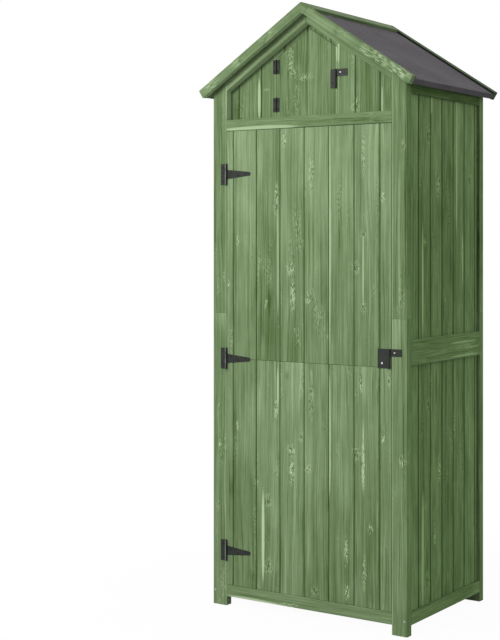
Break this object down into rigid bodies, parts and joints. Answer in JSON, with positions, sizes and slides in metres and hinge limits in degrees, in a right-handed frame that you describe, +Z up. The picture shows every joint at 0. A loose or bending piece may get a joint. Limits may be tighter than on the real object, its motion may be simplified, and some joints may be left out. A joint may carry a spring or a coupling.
{
  "type": "garden storage shed",
  "caption": "Tall narrow wooden garden shed with plank walls on corner posts, felted gable roof, strap-hinged door, small gable hatch, folding hasps, inner shelves and a loft floor.",
  "frame": {"origin": "on the ground, at the middle of the roof's width and depth", "axes": "+X to the right seen from the front, +Y from the front to the back, +Z up"},
  "size_m": [0.749, 0.53, 1.799],
  "materials": {
    "stained_wood": "thin green stain over sawn softwood, matt",
    "roofing_felt": "bitumen felt with fine grey grit",
    "black_iron": "satin black paint",
    "bright_zinc": "bright zinc plating"
  },
  "bodies": {
    "shed": {"front_left_post_lower": "stained_wood", "front_left_post_upper": "stained_wood", "front_right_post_lower": "stained_wood", "front_right_post_upper": "stained_wood", "rear_left_post_lower": "stained_wood", "rear_left_post_upper": "stained_wood", "rear_right_post_lower": "stained_wood", "rear_right_post_upper": "stained_wood", "front_bottom_rail": "stained_wood", "header_rail": "stained_wood", "bottom_side_rails": "stained_wood", "belly_side_rails": "stained_wood", "top_side_rails": "stained_wood", "back_bottom_rail": "stained_wood", "back_belly_rail": "stained_wood", "left_side_boards": "stained_wood", "right_side_boards": "stained_wood", "back_boards": "stained_wood", "gable_boards": "stained_wood", "front_rafters": "stained_wood", "rear_rafters": "stained_wood", "roof_deck_left": "stained_wood", "roof_deck_right": "stained_wood", "ridge_cap": "stained_wood", "front_left_barge": "stained_wood", "front_right_barge": "stained_wood", "rear_left_barge": "stained_wood", "rear_right_barge": "stained_wood", "floor_bearers": "stained_wood", "floor_boards": "stained_wood", "corner_battens": "stained_wood", "shelf_uprights": "stained_wood", "shelf_cleats": "stained_wood", "shelf_boards": "stained_wood", "loft_bearers": "stained_wood", "loft_boards": "stained_wood", "felt_left": "roofing_felt", "felt_right": "roofing_felt", "hinge_post_leaves": "black_iron", "hatch_frame_leaves": "black_iron", "hinge_pins": "black_iron", "frame_screws": "black_iron", "catch_studs": "bright_zinc", "post_screws": "bright_zinc"},
    "door": {"door_boards_lower": "stained_wood", "door_boards_upper": "stained_wood", "door_ledges": "stained_wood", "hinge_straps": "black_iron", "door_hasp_leaf": "black_iron", "door_hasp_pin": "black_iron", "door_screws": "black_iron", "hasp_screw": "bright_zinc"},
    "hatch": {"hatch_boards": "stained_wood", "hatch_ledges": "stained_wood", "hatch_leaves": "black_iron", "hatch_hasp_leaf": "black_iron", "hatch_hasp_pin": "black_iron", "hatch_screws": "black_iron"},
    "door_hasp": {"door_hasp_strap": "black_iron"},
    "hatch_hasp": {"hatch_hasp_strap": "black_iron"}
  },
  "joints": [
    {"name": "door_swing", "type": "hinge", "parent": "shed", "child": "door", "pos_m": [-0.2894, -0.2406, 0.749], "axis": [0, 0, -1], "range_deg": [0, 165]},
    {"name": "hatch_swing", "type": "hinge", "parent": "shed", "child": "hatch", "pos_m": [-0.1228, -0.2148, 1.567], "axis": [0, 0, -1], "range_deg": [0, 95]},
    {"name": "door_hasp_fold", "type": "hinge", "parent": "door", "child": "door_hasp", "pos_m": [0.2838, -0.2404, 0.791], "axis": [0, 0, -1], "range_deg": [0, 170]},
    {"name": "hatch_hasp_fold", "type": "hinge", "parent": "hatch", "child": "hatch_hasp", "pos_m": [0.0885, -0.2154, 1.594], "axis": [0, 0, -1], "range_deg": [0, 170]}
  ]
}
